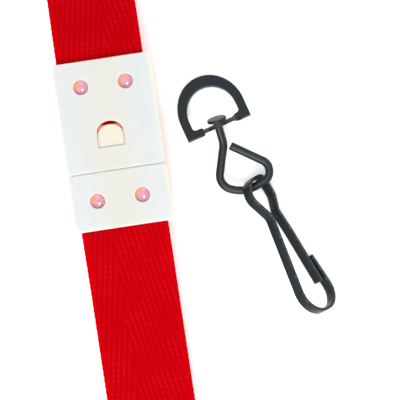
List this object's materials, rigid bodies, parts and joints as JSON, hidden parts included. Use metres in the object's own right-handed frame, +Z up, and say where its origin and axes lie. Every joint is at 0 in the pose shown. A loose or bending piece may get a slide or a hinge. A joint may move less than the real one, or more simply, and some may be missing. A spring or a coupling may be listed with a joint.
{
  "type": "saxophone neck strap",
  "caption": "Flat woven neck strap with a two-half breakaway buckle, and a loose swivel snap hook on a D-ring lying beside it.",
  "frame": {"origin": "on the rest surface, under the middle of the buckle's seam", "axes": "+X across the webbing, +Y along the webbing from the male half to the female half, +Z up from the rest surface"},
  "size_m": [0.0713, 0.1583, 0.0148],
  "materials": {
    "webbing": "flat woven polyester, slightly shiny yarn",
    "shell": "moulded, satin",
    "latch": "moulded, satin",
    "pins": "moulded, slightly translucent",
    "hook_metal": "dark satin coating"
  },
  "bodies": {
    "strap": {"strap_webbing": "webbing", "strap_turn": "webbing", "female_front_shell": "shell", "female_back_shell": "shell", "female_pins": "pins"},
    "male_half": {"male_front_shell": "shell", "male_back_shell": "shell", "male_pins": "pins", "strap_tail": "webbing"},
    "latch": {"latch_finger": "latch"},
    "ring": {"d_ring": "hook_metal"},
    "swivel": {"swivel_eye": "hook_metal"},
    "hook": {"snap_hook": "hook_metal"},
    "gate": {"snap_gate": "hook_metal"}
  },
  "joints": [
    {"name": "buckle_release", "type": "slide", "parent": "strap", "child": "male_half", "axis": [0, -1, 0], "range_m": [0, 0.018], "deforming": ["strap_turn", "latch_finger"]},
    {"name": "latch_press", "type": "hinge", "parent": "male_half", "child": "latch", "pos_m": [0, 0.00065, 0.0122], "axis": [-1, 0, 0], "range_deg": [0, 11], "stiffness_Nm_per_rad": 0.05},
    {"name": "hook_lift", "type": "slide", "parent": "strap", "child": "ring", "axis": [0, 0, 1], "range_m": [0, 0.03]},
    {"name": "swivel_spin", "type": "hinge", "parent": "ring", "child": "swivel", "pos_m": [0.0308, 0.0083, 0.00667], "axis": [-0.1269, 0.9425, 0.309], "continuous": true},
    {"name": "hook_swing", "type": "hinge", "parent": "swivel", "child": "hook", "pos_m": [0.03942, -0.01038, 0.00387], "axis": [-0.9365, -0.3504, -0.0155], "range_deg": [0, 60]},
    {"name": "gate_press", "type": "hinge", "parent": "hook", "child": "gate", "pos_m": [0.04295, -0.01705, 0.00314], "axis": [-0.7077, -0.3031, -0.6381], "range_deg": [0, 13], "stiffness_Nm_per_rad": 0.5}
  ]
}
